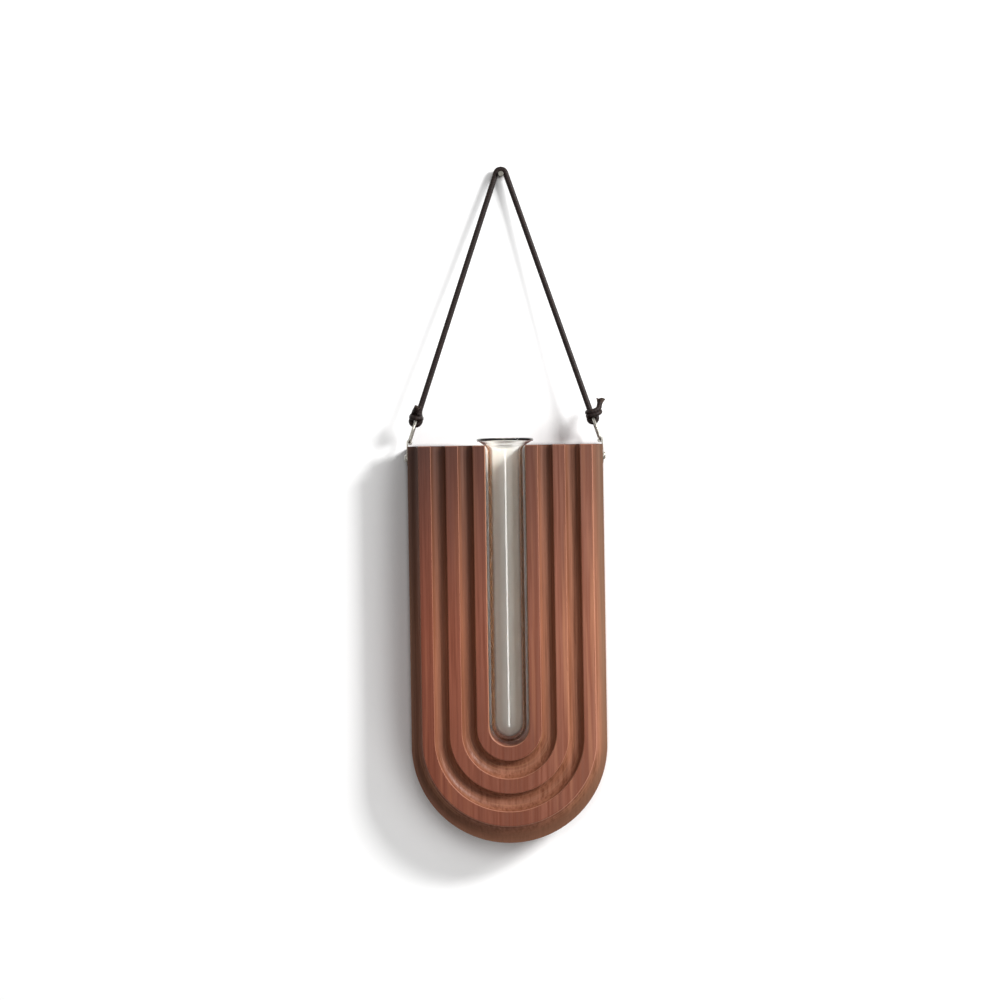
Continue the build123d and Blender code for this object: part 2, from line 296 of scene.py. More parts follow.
# %% [markdown]
# ## The hanging cord
# The cord runs from the left knot up over the nail and down to the right knot, pulled
# straight by the weight of the block. It needs only a few control points: one at each end,
# one on each side just below the nail, where the straight run bends, and two over the nail
# itself. Its ends run on into the knots, so that a small turn of a ring shows no gap. The
# smooth line has a few points that all but coincide, and of those only the first is kept.

# %% Hanging cord
SAME_PLACE = 0.02 * MM

half_route = [
    (44.54, -15.22, -124.98),  # in the right knot
    (7.53, -5.48, -14.46),
    (2.99, -4.28, -0.91),
    (1.84, -3.98, 2.54),  # over the nail
]
route = [point(-x, y, z) for x, y, z in half_route]
route += [point(x, y, z) for x, y, z in reversed(half_route)]
cord_line = path_through("cord_route", route)
cord_path = []
for vertex in cord_line.vertices:
    if not cord_path or (vertex.co - Vector(cord_path[-1])).length > SAME_PLACE:
        cord_path.append(tuple(vertex.co))
cord_sizes = {
    "Diameter": CORD_DIAMETER,
    "Ring spacing": 0.8 * MM,
    "Sides": 20,
    "Finish": waxed_cotton,
}
cord = made_by(cord_tree, "waxed_hanging_cord", cord_line, cord_sizes)

# %% [markdown]
# ## The knots
# At each end the cord goes down through the D-ring, comes up on its outer side, winds round
# its own standing part and is pulled tight, with its cut end sticking out at the top. The
# route of each knot is written in its ring's own directions: outwards, back, and up the
# line to the nail. The two differ as hand-tied knots do: the right one has two turns and a
# longer tail, and the left one a single turn low on the ring and a short tail in front of
# the cord, where it passes clear of it when the ring turns. Pulling the knot tight squashes
# its turns, so they are a little thinner.

# %% Knots
KNOT_DIAMETER = 2.8 * MM
RING_TOP = (45.43, -15.0, -127.62)  # the middle of the ring's top wire, on the right
RING_LEAN = radians(18.52)  # in line with the cord

knot_routes = {
    "right": [
        (0.0, 0.2, 4.9),
        (-0.3, 0.3, 2.9),
        (-1.5, 0.2, 1.0),
        (-2.1, 0.1, -0.8),
        (-0.9, 0.0, -2.3),
        (1.0, 0.0, -2.2),
        (2.2, 0.2, -0.6),
        (1.9, 1.3, 0.9),
        (0.4, 2.4, 1.5),
        (-1.6, 1.6, 1.6),
        (-1.9, -0.9, 1.4),
        (-0.3, -2.4, 1.1),
        (2.5, -2.3, 1.0),
        (4.6, -1.0, 1.5),
        (4.5, 1.2, 2.1),
        (2.0, 2.4, 2.8),
        (-1.1, 1.9, 3.3),
        (-1.8, -0.5, 3.3),
        (-0.2, -2.3, 2.9),
        (2.5, -2.1, 2.8),
        (4.5, -1.2, 3.3),
        (5.4, -0.6, 4.8),
        (6.0, -0.4, 5.9),
    ],
    "left": [
        (-0.1, 0.2, 6.4),
        (-0.2, 0.3, 4.2),
        (-1.3, 0.2, 2.3),
        (-2.1, 0.0, 0.5),
        (-1.7, -0.2, -1.8),
        (0.3, -0.3, -2.8),
        (2.3, -0.2, -2.0),
        (2.6, 0.4, 0.0),
        (1.5, 1.6, 1.5),
        (-0.5, 2.4, 1.9),
        (-2.1, 0.9, 1.7),
        (-1.8, -1.6, 1.3),
        (0.4, -2.6, 0.8),
        (2.5, -1.8, 0.4),
        (3.0, 0.3, 1.0),
        (2.2, 0.9, 2.6),
        (2.3, -0.8, 3.9),
        (1.9, -2.2, 5.1),
        (1.7, -2.8, 6.3),
    ],
}


def at_ring(side, outwards, back, up):
    """A point near one ring, from its place along the ring's own directions."""
    x = RING_TOP[0] + outwards * cos(RING_LEAN) - up * sin(RING_LEAN)
    z = RING_TOP[2] + outwards * sin(RING_LEAN) + up * cos(RING_LEAN)
    return point(side * x, RING_TOP[1] + back, z)


knots = {}
tips = {}  # where each tail ends, and which way it points
for name, side in (("left", -1), ("right", 1)):
    places = [at_ring(side, *place) for place in knot_routes[name]]
    line = path_through("knot_route_" + name, places)
    tips[name] = (places[-1], (places[-1] - places[-2]).normalized())
    knots[name] = made_by(cord_tree, "tied_knot_" + name, line,
                          cord_sizes | {"Diameter": KNOT_DIAMETER, "Ring spacing": 0.3 * MM})
print("tails end at", *(tuple(round(c / MM, 1) for c in tip) for tip, _ in tips.values()))

# %% [markdown]
# ## Frayed ends
# A cut cotton cord opens at its end: the wax cracks and the threads spread. A second tree
# makes that tuft. It scatters points over the cord's end and gives each one a bent thread
# that leans the more outwards the nearer it is to the rim. The threads at the two sides are
# the longest, so the tuft parts in the middle, and a fixed seed varies them all a little.
# First the tree scatters the points.

# %% The frayed end tree: points
FRAY_RADIUS = 0.58 * CORD_DIAMETER  # a little wider than the cord

fray_tree, given, result = new_tree("frayed_end", [
    ("Threads", "Int"),
    ("Thread diameter", "Float"),
    ("Thread length", "Float"),
    ("Spread", "Float"),
    ("Seed", "Int"),
    ("Finish", "Material"),
])
turn = add(fray_tree, "FunctionNodeRandomValue", {"data_type": "FLOAT"},
           _2=0.0, _3=2 * pi, Seed=given["Seed"])
part = add(fray_tree, "FunctionNodeRandomValue", {"data_type": "FLOAT"},
           _2=0.02, _3=0.80, Seed=given["Seed"],
           ID=add(fray_tree, "GeometryNodeInputIndex").outputs[0])
out = add(fray_tree, "ShaderNodeMath", {"operation": "SQRT"}, _0=part.outputs[1])
reach = add(fray_tree, "ShaderNodeMath", {"operation": "MULTIPLY"},
            _0=out.outputs[0], _1=FRAY_RADIUS)
lean = add(fray_tree, "ShaderNodeMath", {"operation": "MULTIPLY"},
           _0=out.outputs[0], _1=given["Spread"])
radial = add(fray_tree, "ShaderNodeCombineXYZ", X=reach.outputs[0])
swung = add(fray_tree, "ShaderNodeVectorRotate", {"rotation_type": "Z_AXIS"},
            Vector=radial.outputs[0], Angle=turn.outputs[1])
spots = add(fray_tree, "GeometryNodePoints", Count=given["Threads"],
            Position=swung.outputs[0])
print("fray points within", round(FRAY_RADIUS / MM, 2), "mm")

# %% [markdown]
# One thread is a thin tube along a bent line. It starts well inside the cord, so that it
# never shows its lower end, and its tip bows outwards.

# %% The frayed end tree: one thread
THREAD_STEPS = 6  # along the bent line
THREAD_SIDES = 6

drop = add(fray_tree, "ShaderNodeMath", {"operation": "MULTIPLY"},
           _0=given["Thread length"], _1=-0.6)
half = add(fray_tree, "ShaderNodeMath", {"operation": "MULTIPLY"},
           _0=given["Thread length"], _1=0.5)
start = add(fray_tree, "ShaderNodeCombineXYZ", Z=drop.outputs[0])
bend = add(fray_tree, "ShaderNodeCombineXYZ", Z=half.outputs[0])
bow = add(fray_tree, "ShaderNodeMath", {"operation": "MULTIPLY"},
          _0=given["Thread length"], _1=0.12)
tip = add(fray_tree, "ShaderNodeCombineXYZ", X=bow.outputs[0], Z=given["Thread length"])
thread = add(fray_tree, "GeometryNodeCurveQuadraticBezier", Resolution=THREAD_STEPS,
             Start=start.outputs[0], Middle=bend.outputs[0], End=tip.outputs[0])
radius = add(fray_tree, "ShaderNodeMath", {"operation": "MULTIPLY"},
             _0=given["Thread diameter"], _1=0.5)
circle = add(fray_tree, "GeometryNodeCurvePrimitiveCircle", Resolution=THREAD_SIDES,
             Radius=radius.outputs[0])
fibre = add(fray_tree, "GeometryNodeCurveToMesh", Curve=thread.outputs[0],
            Profile_Curve=circle.outputs[0], Fill_Caps=True)
print("a thread has", THREAD_SIDES, "sides and", THREAD_STEPS, "steps")

# %% [markdown]
# Then each point gets a thread that is turned the way the point lies, tipped outwards and
# stretched. The tuft stands at the origin, and its mesh is later set on the tail's tip.

# %% The frayed end tree: the tuft
PARTED_AT = 0.3 * CORD_DIAMETER  # sideways, where the threads have their full length

aim = add(fray_tree, "ShaderNodeCombineXYZ", Y=lean.outputs[0], Z=turn.outputs[1])
split = add(fray_tree, "ShaderNodeSeparateXYZ", Vector=swung.outputs[0])
aside = add(fray_tree, "ShaderNodeMath", {"operation": "ABSOLUTE"}, _0=split.outputs["X"])
parted = add(fray_tree, "ShaderNodeMapRange", Value=aside.outputs[0],
             From_Max=PARTED_AT, To_Min=0.62, To_Max=1.0)
stretch = add(fray_tree, "FunctionNodeRandomValue", {"data_type": "FLOAT"},
              _2=0.8, _3=1.1, Seed=given["Seed"])
stretch = add(fray_tree, "ShaderNodeMath", {"operation": "MULTIPLY"},
              _0=stretch.outputs[1], _1=parted.outputs[0])
size = add(fray_tree, "ShaderNodeCombineXYZ", X=1.0, Y=1.0, Z=stretch.outputs[0])
tuft = add(fray_tree, "GeometryNodeInstanceOnPoints", Points=spots.outputs[0],
           Instance=fibre.outputs[0], Rotation=aim.outputs[0], Scale=size.outputs[0])
real = add(fray_tree, "GeometryNodeRealizeInstances", Geometry=tuft.outputs[0])
dressed = add(fray_tree, "GeometryNodeSetMaterial", Geometry=real.outputs[0],
              Material=given["Finish"])
fray_tree.links.new(dressed.outputs[0], result)
print("fray tree has", len(fray_tree.nodes), "nodes")

# %% [markdown]
# The loose threads have lost their wax, so they are a little lighter and quite matt. Their
# colour changes from thread to thread, as it does where a cut has opened the cotton.

# %% Loose cotton material
THREAD_DARK, THREAD_LIGHT = "#2A2220", "#5E5048"

loose_cotton, tree, output = new_material("loose_cotton_threads")
spots = add(tree, "ShaderNodeTexCoord")
threads = add(tree, "ShaderNodeTexNoise", Vector=spots.outputs["Object"],
              Scale=1 / (0.8 * MM), Detail=2.0)
shade = add(tree, "ShaderNodeMix", {"data_type": "RGBA"}, _0=threads.outputs[0],
            _6=colour(THREAD_DARK), _7=colour(THREAD_LIGHT))
relief = add(tree, "ShaderNodeBump", Strength=0.4, Distance=0.05 * MM,
             Height=threads.outputs[0])
surface = add(tree, "ShaderNodeBsdfPrincipled", Base_Color=shade.outputs[2],
              Roughness=0.85, Specular_IOR_Level=0.15, Normal=relief.outputs[0])
tree.links.new(surface.outputs[0], output.inputs["Surface"])
print("loose threads between", THREAD_DARK, "and", THREAD_LIGHT)

# %% [markdown]
# Each tail gets its own tuft, a short one on the left and a longer one on the right. The
# tree's points come from the count alone, so the mesh that it starts from is empty, and the
# finished tuft is turned the way the tail points.

# %% Frayed ends
frays = {}
for name, length, spread in (("left", 1.0, 0.35), ("right", 2.8, 0.42)):  # mm, radians
    frays[name] = made_by(fray_tree, "frayed_end_" + name, bpy.data.meshes.new("empty"), {
        "Threads": 160,
        "Thread diameter": 0.42 * MM,
        "Thread length": length * MM,
        "Spread": spread,
        "Seed": 7,
        "Finish": loose_cotton,
    })
    tip, direction = tips[name]
    upright = direction.to_track_quat("Z", "Y").to_matrix().to_4x4()
    frays[name].data.transform(Matrix.Translation(tip) @ upright)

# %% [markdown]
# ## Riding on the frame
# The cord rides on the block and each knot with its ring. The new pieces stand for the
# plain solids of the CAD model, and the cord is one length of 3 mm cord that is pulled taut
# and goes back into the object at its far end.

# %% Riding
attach(cord, "vase")
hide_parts("hanging_cord")
for name in ("left", "right"):
    for piece in (knots[name], frays[name]):
        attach(piece, "ring_" + name)
    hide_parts("cord_knot_" + name)
print("pieces riding:", cord.name, ", ".join(knots), "knots")

# %% [markdown]
# ## Stained mahogany
# The block is a reddish hardwood, moulded with a round cutter, stained dark red brown and
# oiled to a semi-matt sheen. Its grain runs up and down through the whole block, so the
# pattern is a solid one in the block's own coordinates: long streaks on the front and the
# sides, and small dots where the grain ends on the top face. The finish is built as layers
# of colour, each held in place by masks from 0 to 1: most are stain, and some are painted
# light and shade. Two helpers do it: one draws a layer of grain from the width and length of
# its marks, and the other lays a colour over what is there, only where all of its masks hold.

# %% Grain and stain


def grain(tree, where, width, length, detail, dark, light):
    """A 0 to 1 mask of upright grain marks, from their width and length in mm."""
    marks = add(tree, "ShaderNodeMapping", Vector=where,
                Scale=(1 / (width * MM), 1 / (width * MM), 1 / (length * MM)))
    noise = add(tree, "ShaderNodeTexNoise", Vector=marks.outputs[0], Scale=1.0,
                Detail=detail, Roughness=0.6)
    return add(tree, "ShaderNodeMapRange", Value=noise.outputs[0],
               From_Min=dark, From_Max=light).outputs[0]


def lay_colour(tree, under, over, *masks):
    """The colour over laid on the colour under, where all the masks are 1."""
    mask = masks[0]
    for other in masks[1:]:
        mask = add(tree, "ShaderNodeMath", {"operation": "MULTIPLY"},
                   _0=mask, _1=other).outputs[0]
    under, over = (colour(c) if isinstance(c, str) else c for c in (under, over))
    return add(tree, "ShaderNodeMix", {"data_type": "RGBA"},
               _0=mask, _6=under, _7=over).outputs[2]


# %% [markdown]
# The moulding cutter went round the U of the slot again and again, and left fine tool marks
# along its path, most of all where it crossed the grain at the bottom. To draw them, the
# material works out how far out a point lies, across the bands of the U. On the two legs
# that is the distance sideways. Round the bottom it is a radius, but the centre of the bend
# sinks as the radius grows. A point at some distance to the side of the centre line and
# below the bend's own height has the radius for which
# side ** 2 + (below - sink * radius) ** 2 = radius ** 2,
# and the table of steps solves that. On the legs, below is held at side * sink, for which
# the radius is just the distance sideways.

# %% Distance across the bands
BEND_CENTRE = -282.80  # height where the bend of a band with no radius would be centred
BEND_SINK = 0.196  # the centre sinks by this share of a band's radius


def across_the_bands(tree, x, z):
    """Distance in metres from the middle line of the U, measured across its bands."""
    value = {"x": x, "z": z, "centre": BEND_CENTRE * MM, "sink": BEND_SINK,
             "share": 1 - BEND_SINK ** 2, "nothing": 0.0}
    for result, operation, first, second in (
            ("side", "ABSOLUTE", "x", "nothing"),
            ("under", "SUBTRACT", "centre", "z"),
            ("on legs", "MULTIPLY", "side", "sink"),
            ("below", "MAXIMUM", "under", "on legs"),
            ("sunk", "MULTIPLY", "below", "sink"),
            ("side squared", "MULTIPLY", "side", "side"),
            ("below squared", "MULTIPLY", "below", "below"),
            ("square", "ADD", "side squared", "below squared"),
            ("sunk squared", "MULTIPLY", "sunk", "sunk"),
            ("square's share", "MULTIPLY", "square", "share"),
            ("inner", "ADD", "sunk squared", "square's share"),
            ("root", "SQRT", "inner", "nothing"),
            ("top", "SUBTRACT", "root", "sunk"),
            ("radius", "DIVIDE", "top", "share")):
        value[result] = add(tree, "ShaderNodeMath", {"operation": operation},
                            _0=value[first], _1=value[second]).outputs[0]
    return value["radius"]


print("bend centred at", BEND_CENTRE, "mm, sinking by", BEND_SINK)

# %% [markdown]
# The material starts with where a point lies and with four layers of grain: the broad
# figure of the plank, fine streaks, short pores, and a pale bloom where the stain took less.
# Most colours below are a pair, for the left and the right edge of the block. The right one
# is paler: that is painted light, as if the block were lit more strongly from the right.

# %% Grain of the block
mahogany, tree, output = new_material("stained_mahogany")
spots = add(tree, "ShaderNodeTexCoord").outputs["Object"]
place = add(tree, "ShaderNodeSeparateXYZ", Vector=spots).outputs
board_low, board_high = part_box("wood_board")
# painted light: 0 at the block's left edge and 1 at its right, where the colours are paler
painted_light_to_right = add(tree, "ShaderNodeMapRange", Value=place["X"],
            From_Min=board_low.x, From_Max=board_high.x).outputs[0]

figure = grain(tree, spots, 7.0, 160.0, 2.0, 0.35, 0.65)
streaks = grain(tree, spots, 1.3, 70.0, 3.0, 0.42, 0.66)
pores = grain(tree, spots, 0.6, 16.0, 2.0, 0.58, 0.78)
bloom = grain(tree, spots, 3.2, 110.0, 2.0, 0.52, 0.72)
print("grain over", [round(side / MM, 1) for side in board_high - board_low], "mm")

# %% [markdown]
# The flat ridges are dark and red. The cutter opened the fibres in the coves, which are
# duller and browner. How deep a point lies below the front tells whether it is in a cove,
# and the sides of the block, which lie deeper than any cove, are stained as the ridges are.

# %% Ridges and coves
FRONT = -30.0  # the face of the ridges
COVE_BEGINS = (0.3, 1.4)  # mm below the front, from no cove to all cove
COVE_ENDS = (4.3, 5.0)


def between_depths(tree, begins, ends, most=1.0):
    """A mask of what lies between two depths below the front, with soft limits in mm."""
    begun = add(tree, "ShaderNodeMapRange", Value=place["Y"], To_Max=most,
                From_Min=(FRONT + begins[0]) * MM, From_Max=(FRONT + begins[1]) * MM)
    ended = add(tree, "ShaderNodeMapRange", Value=place["Y"], To_Min=1.0, To_Max=0.0,
                From_Min=(FRONT + ends[0]) * MM, From_Max=(FRONT + ends[1]) * MM)
    return add(tree, "ShaderNodeMath", {"operation": "MULTIPLY"},
               _0=begun.outputs[0], _1=ended.outputs[0]).outputs[0]


# each pair paints light: its right-hand colour is the paler one
ridge_dark = lay_colour(tree, "#6B3422", "#8C5844", painted_light_to_right)
ridge_light = lay_colour(tree, "#82422C", "#A86D57", painted_light_to_right)
ridge = lay_colour(tree, ridge_dark, ridge_light, figure)
ridge = lay_colour(tree, ridge, lay_colour(tree, "#6B3422", "#8B523D", painted_light_to_right), streaks)
ridge = lay_colour(tree, ridge, lay_colour(tree, "#8A4C34", "#B57A5C", painted_light_to_right), bloom)
cove_dark = lay_colour(tree, "#7B4B36", "#8F5C44", painted_light_to_right)
cove_light = lay_colour(tree, "#94604A", "#AE7459", painted_light_to_right)
cove = lay_colour(tree, cove_dark, cove_light, figure)
cove = lay_colour(tree, cove, "#75462F", streaks)
in_cove = between_depths(tree, COVE_BEGINS, COVE_ENDS)
wood = lay_colour(tree, ridge, cove, in_cove)
print("coves from", COVE_BEGINS[0], "to", COVE_ENDS[1], "mm below the front")

# %% [markdown]
# The tool marks are grain again, but drawn along the cutter's lanes: the distance across
# the bands takes the place of the sideways coordinate. They show as pale scratches in the
# coves, strongest at the bottom. The pores are filled with dark stain, and the outer rim is
# darker.

# %% Tool marks, pores and rim
BEND_STARTS = (-300.0, -275.0)  # heights between which the marks fade
PORE_STAIN = 0.25  # how strongly the filled pores show
RIM = (45.2, 48.5)  # mm from the middle line

out = across_the_bands(tree, place["X"], place["Z"])
lane = add(tree, "ShaderNodeCombineXYZ", X=out, Y=place["Y"], Z=place["Z"])
tool_marks = grain(tree, lane.outputs[0], 0.7, 22.0, 3.0, 0.50, 0.72)
bend = add(tree, "ShaderNodeMapRange", Value=place["Z"], From_Min=BEND_STARTS[0] * MM,
           From_Max=BEND_STARTS[1] * MM, To_Min=0.55, To_Max=0.1)
wood = lay_colour(tree, wood, "#C48F68", tool_marks, bend.outputs[0], in_cove)
wood = lay_colour(tree, wood, "#4E2A20", pores, PORE_STAIN)
rim = add(tree, "ShaderNodeMapRange", Value=out, From_Min=RIM[0] * MM,
          From_Max=RIM[1] * MM, To_Max=0.75)
wood = lay_colour(tree, wood, lay_colour(tree, "#4A3428", "#84654F", painted_light_to_right), rim.outputs[0], in_cove)
print("rim from", RIM[0], "mm")

# %% [markdown]
# The block is not one even colour. It is a little darker beside the slot and at the lower
# end. Towards the top, most of all at the left, it is clearly darker: a painted shade.

# %% Uneven colour, and painted shade at the top
BY_THE_SLOT = (14.0, 24.0)  # mm from the middle line
LOWER_END = 90.0  # mm up from the bottom
SHADED_TOP = 95.0  # mm down from the top

by_the_slot = add(tree, "ShaderNodeMapRange", Value=out, From_Min=BY_THE_SLOT[0] * MM,
                  From_Max=BY_THE_SLOT[1] * MM, To_Min=0.16, To_Max=0.0)
wood = lay_colour(tree, wood, "#4A2015", by_the_slot.outputs[0])
lower_end = add(tree, "ShaderNodeMapRange", Value=place["Z"], From_Min=board_low.z,
                From_Max=board_low.z + LOWER_END * MM, To_Min=0.5, To_Max=0.0)
to_the_right = add(tree, "ShaderNodeMapRange", Value=painted_light_to_right, To_Min=0.5, To_Max=1.0)
wood = lay_colour(tree, wood, "#5A2A1C", lower_end.outputs[0], to_the_right.outputs[0])
# painted shade: the top of the block is darkened towards #30201C, most of all at the left
shaded_top = add(tree, "ShaderNodeMapRange", Value=place["Z"],
               From_Min=board_high.z - SHADED_TOP * MM, From_Max=board_high.z, To_Max=0.66)
to_the_left = add(tree, "ShaderNodeMapRange", Value=painted_light_to_right, To_Min=1.22, To_Max=0.66)
wood = lay_colour(tree, wood, "#30201C", shaded_top.outputs[0], to_the_left.outputs[0])
print("dark top over", SHADED_TOP, "mm")

# %% [markdown]
# The sharp edge between a ridge and a cove is rubbed pale, and the pale line is also a
# painted highlight along it. The end grain on the top face drank more stain and is dark, and
# the two walls of the slot are paler.

# %% Edges, end grain and slot walls
EDGE_BEGINS = (0.02, 0.14)  # mm below the front
EDGE_ENDS = (0.35, 0.7)
END_GRAIN = (0.5, 0.1)  # mm below the top face
SLOT_WALL = (10.25, 10.45)  # mm from the middle line
SLOT_BEND = (-290.0, -284.0)  # heights between which the paler walls begin

# wear and painted highlight: a pale line along each ridge's edge
rubbed_edge_and_highlight = between_depths(tree, EDGE_BEGINS, EDGE_ENDS, most=0.65)
wood = lay_colour(tree, wood, "#C08A70", rubbed_edge_and_highlight)
end_grain = add(tree, "ShaderNodeMapRange", Value=place["Z"],
                From_Min=board_high.z - END_GRAIN[0] * MM,
                From_Max=board_high.z - END_GRAIN[1] * MM, To_Max=0.65)
wood = lay_colour(tree, wood, "#4E2722", end_grain.outputs[0])
slot_wall = add(tree, "ShaderNodeMapRange", Value=out, From_Min=SLOT_WALL[0] * MM,
                From_Max=SLOT_WALL[1] * MM, To_Min=0.5, To_Max=0.0)
above_bend = add(tree, "ShaderNodeMapRange", Value=place["Z"],
                 From_Min=SLOT_BEND[0] * MM, From_Max=SLOT_BEND[1] * MM)
wood = lay_colour(tree, wood, "#9A7254", slot_wall.outputs[0], above_bend.outputs[0])
print("slot walls within", SLOT_WALL[1], "mm of the middle line")

# %% [markdown]
# Last come the sheen and the relief. The streaks are slightly rougher, and streaks and
# pores are pressed in by about a tenth of a millimetre.

# %% Surface of the block
depth = add(tree, "ShaderNodeMix", {"data_type": "FLOAT"}, _0=0.5, _2=streaks, _3=pores)
gloss = add(tree, "ShaderNodeMapRange", Value=streaks, To_Min=0.40, To_Max=0.55)
relief = add(tree, "ShaderNodeBump", {"invert": True}, Strength=0.5, Distance=0.12 * MM,
             Height=depth.outputs[0])
surface = add(tree, "ShaderNodeBsdfPrincipled", Base_Color=wood, Roughness=gloss.outputs[0],
              Specular_IOR_Level=0.2, Normal=relief.outputs[0])
tree.links.new(surface.outputs[0], output.inputs["Surface"])
nodes["wood_board"].data.materials.clear()
nodes["wood_board"].data.materials.append(mahogany)
print("mahogany has", len(tree.nodes), "nodes")

# %% [markdown]
# ## Borosilicate glass
# The test tube is blown borosilicate, clear and hardly green at all, with walls of 1.1 mm.
# Its outline and its dark sides come from real refraction through two walls, so the
# material is plain transmission with the index of that glass. A very slight waviness keeps
# the long reflections from being ruler straight. Light that only casts a shadow goes
# through and loses a little at each face, because so thin a wall hardly holds any back.

# %% Borosilicate glass material
GLASS_INDEX = 1.47
WAVE_WIDTH, WAVE_LENGTH = 9 * MM, 45 * MM  # of the slight unevenness of the drawn tube

glass, tree, output = new_material("borosilicate_glass")
spots = add(tree, "ShaderNodeTexCoord").outputs["Object"]
draw = add(tree, "ShaderNodeMapping", Vector=spots,
           Scale=(1 / WAVE_WIDTH, 1 / WAVE_WIDTH, 1 / WAVE_LENGTH))
wave = add(tree, "ShaderNodeTexNoise", Vector=draw.outputs[0], Scale=1.0, Detail=1.0)
haze = add(tree, "ShaderNodeMapRange", Value=wave.outputs[0], From_Min=0.3, From_Max=0.7,
           To_Min=0.0, To_Max=0.03)
relief = add(tree, "ShaderNodeBump", Strength=0.25, Distance=0.1 * MM,
             Height=wave.outputs[0])
clear = add(tree, "ShaderNodeBsdfPrincipled", Base_Color=colour("#FCFCFA"),
            Roughness=haze.outputs[0], IOR=GLASS_INDEX, Transmission_Weight=1.0,
            Normal=relief.outputs[0])
through = add(tree, "ShaderNodeBsdfTransparent", Color=colour("#DBDAD5"))
seen = add(tree, "ShaderNodeLightPath").outputs
surface = add(tree, "ShaderNodeMixShader", _0=seen["Is Shadow Ray"], _1=clear.outputs[0],
              _2=through.outputs[0])
tree.links.new(surface.outputs[0], output.inputs["Surface"])
nodes["glass_tube"].data.materials.clear()
nodes["glass_tube"].data.materials.append(glass)
print("glass index", GLASS_INDEX)

# %% [markdown]
# ## Nickel plated steel and drawn steel
# The straps, the screws and the D-rings are pressed or bent from steel and nickel plated,
# which looks bright, slightly warm and a little blurred. The nail is cut from drawn wire,
# greyer and duller. Both are metals with fine scratches: on the strip they run lengthwise,
# and on the wire they follow it closely enough for the same upright pattern to do.

# %% Metal materials


def worn_steel(name, bright, dull, smooth, rough):
    """A scratched metal, from its two colours and its two roughnesses."""
    steel, tree, output = new_material(name)
    spots = add(tree, "ShaderNodeTexCoord").outputs["Object"]
    scratches = grain(tree, spots, 0.5, 6.0, 3.0, 0.40, 0.65)
    patches = grain(tree, spots, 3.0, 3.0, 2.0, 0.35, 0.65)
    shade = lay_colour(tree, bright, dull, scratches)
    gloss = add(tree, "ShaderNodeMapRange", Value=patches, To_Min=smooth, To_Max=rough)
    relief = add(tree, "ShaderNodeBump", Strength=0.25, Distance=0.02 * MM,
                 Height=scratches)
    surface = add(tree, "ShaderNodeBsdfPrincipled", Base_Color=shade, Metallic=1.0,
                  Roughness=gloss.outputs[0], Normal=relief.outputs[0])
    tree.links.new(surface.outputs[0], output.inputs["Surface"])
    return steel


nickel = worn_steel("nickel_plated_steel", "#A5A29A", "#7E7B73", 0.32, 0.44)
drawn_steel = worn_steel("drawn_wire_steel", "#77756E", "#5C5A55", 0.45, 0.58)
finishes = {"wall_nail": drawn_steel}
for name in ("left", "right"):
    for part in ("hanger_strap_", "hanger_screw_", "d_ring_"):
        finishes[part + name] = nickel
for name, finish in finishes.items():
    nodes[name].data.materials.clear()
    nodes[name].data.materials.append(finish)
print("metal on", ", ".join(sorted(finishes)))

# %% [markdown]
# ## The wall and the floor
# The block hangs on a plain white wall, and a pale floor lies two metres below the nail.
# The wall keeps the block's shadow, because most of its brightness is reflected light. The
# rest is a glow that only the camera, reflections and glass see, so it lights nothing. Seen
# from behind, the wall is clear, so that the back of the object can be looked at too.
#
# The wall's glow and the world's white are meant for the same rays, and no others: those
# that come from the camera, straight or by way of gloss and glass.

# %% Rays that see the stage white


def sees_white(tree, ray):
    """1 for rays from the camera, from gloss and through glass, before any matt bounce."""
    white = ray["Is Camera Ray"]
    for kind in ("Is Glossy Ray", "Is Transmission Ray"):
        white = add(tree, "ShaderNodeMath", {"operation": "MAXIMUM"},
                    _0=white, _1=ray[kind]).outputs[0]
    early = add(tree, "ShaderNodeMath", {"operation": "LESS_THAN"},
                _0=ray["Diffuse Depth"], _1=0.5)
    return add(tree, "ShaderNodeMath", {"operation": "MULTIPLY"},
               _0=white, _1=early.outputs[0]).outputs[0]


# %% [markdown]
# Two measures of ambient occlusion shade the wall. A small one darkens the crevice right
# behind the block. A wide one takes the glow away where the block stands before the wall,
# in the direction that most of the soft light comes from, so that the shadow stays grey.

# %% Wall paint
WALL_GLOW = 0.36
WALL_WHITE = "#F3F3F3"
CREVICE_REACH = 5 * MM
SHELTER_REACH = 150 * MM
UP_RIGHT = Vector((0.5, -0.7, 0.5)).normalized()  # where most of the soft light comes from

white_wall, tree, output = new_material("white_wall_paint")
crevice = add(tree, "ShaderNodeAmbientOcclusion", {"samples": 16}, Distance=CREVICE_REACH,
              Normal=UP_RIGHT)
shaded = add(tree, "ShaderNodeMapRange", Value=crevice.outputs["AO"],
             From_Min=0.35, From_Max=0.75)
# painted shade: the paint turns dark brown (#3A281E) in the crevice behind the block, as with
# light bounced off the wood
paint = add(tree, "ShaderNodeBsdfDiffuse",
            Color=lay_colour(tree, "#3A281E", WALL_WHITE, shaded.outputs[0]))
ray = add(tree, "ShaderNodeLightPath").outputs
shelter = add(tree, "ShaderNodeAmbientOcclusion", {"samples": 16}, Distance=SHELTER_REACH,
              Normal=UP_RIGHT)
open_wall = add(tree, "ShaderNodeMapRange", Value=shelter.outputs["AO"],
                From_Min=0.65, From_Max=0.84, To_Min=0.05)
glow = add(tree, "ShaderNodeMath", {"operation": "MULTIPLY"},
           _0=sees_white(tree, ray), _1=open_wall.outputs[0])
glow = add(tree, "ShaderNodeMath", {"operation": "MULTIPLY"},
           _0=glow.outputs[0], _1=WALL_GLOW)
lit = add(tree, "ShaderNodeEmission", Strength=glow.outputs[0])
front = add(tree, "ShaderNodeAddShader", _0=paint.outputs[0], _1=lit.outputs[0])
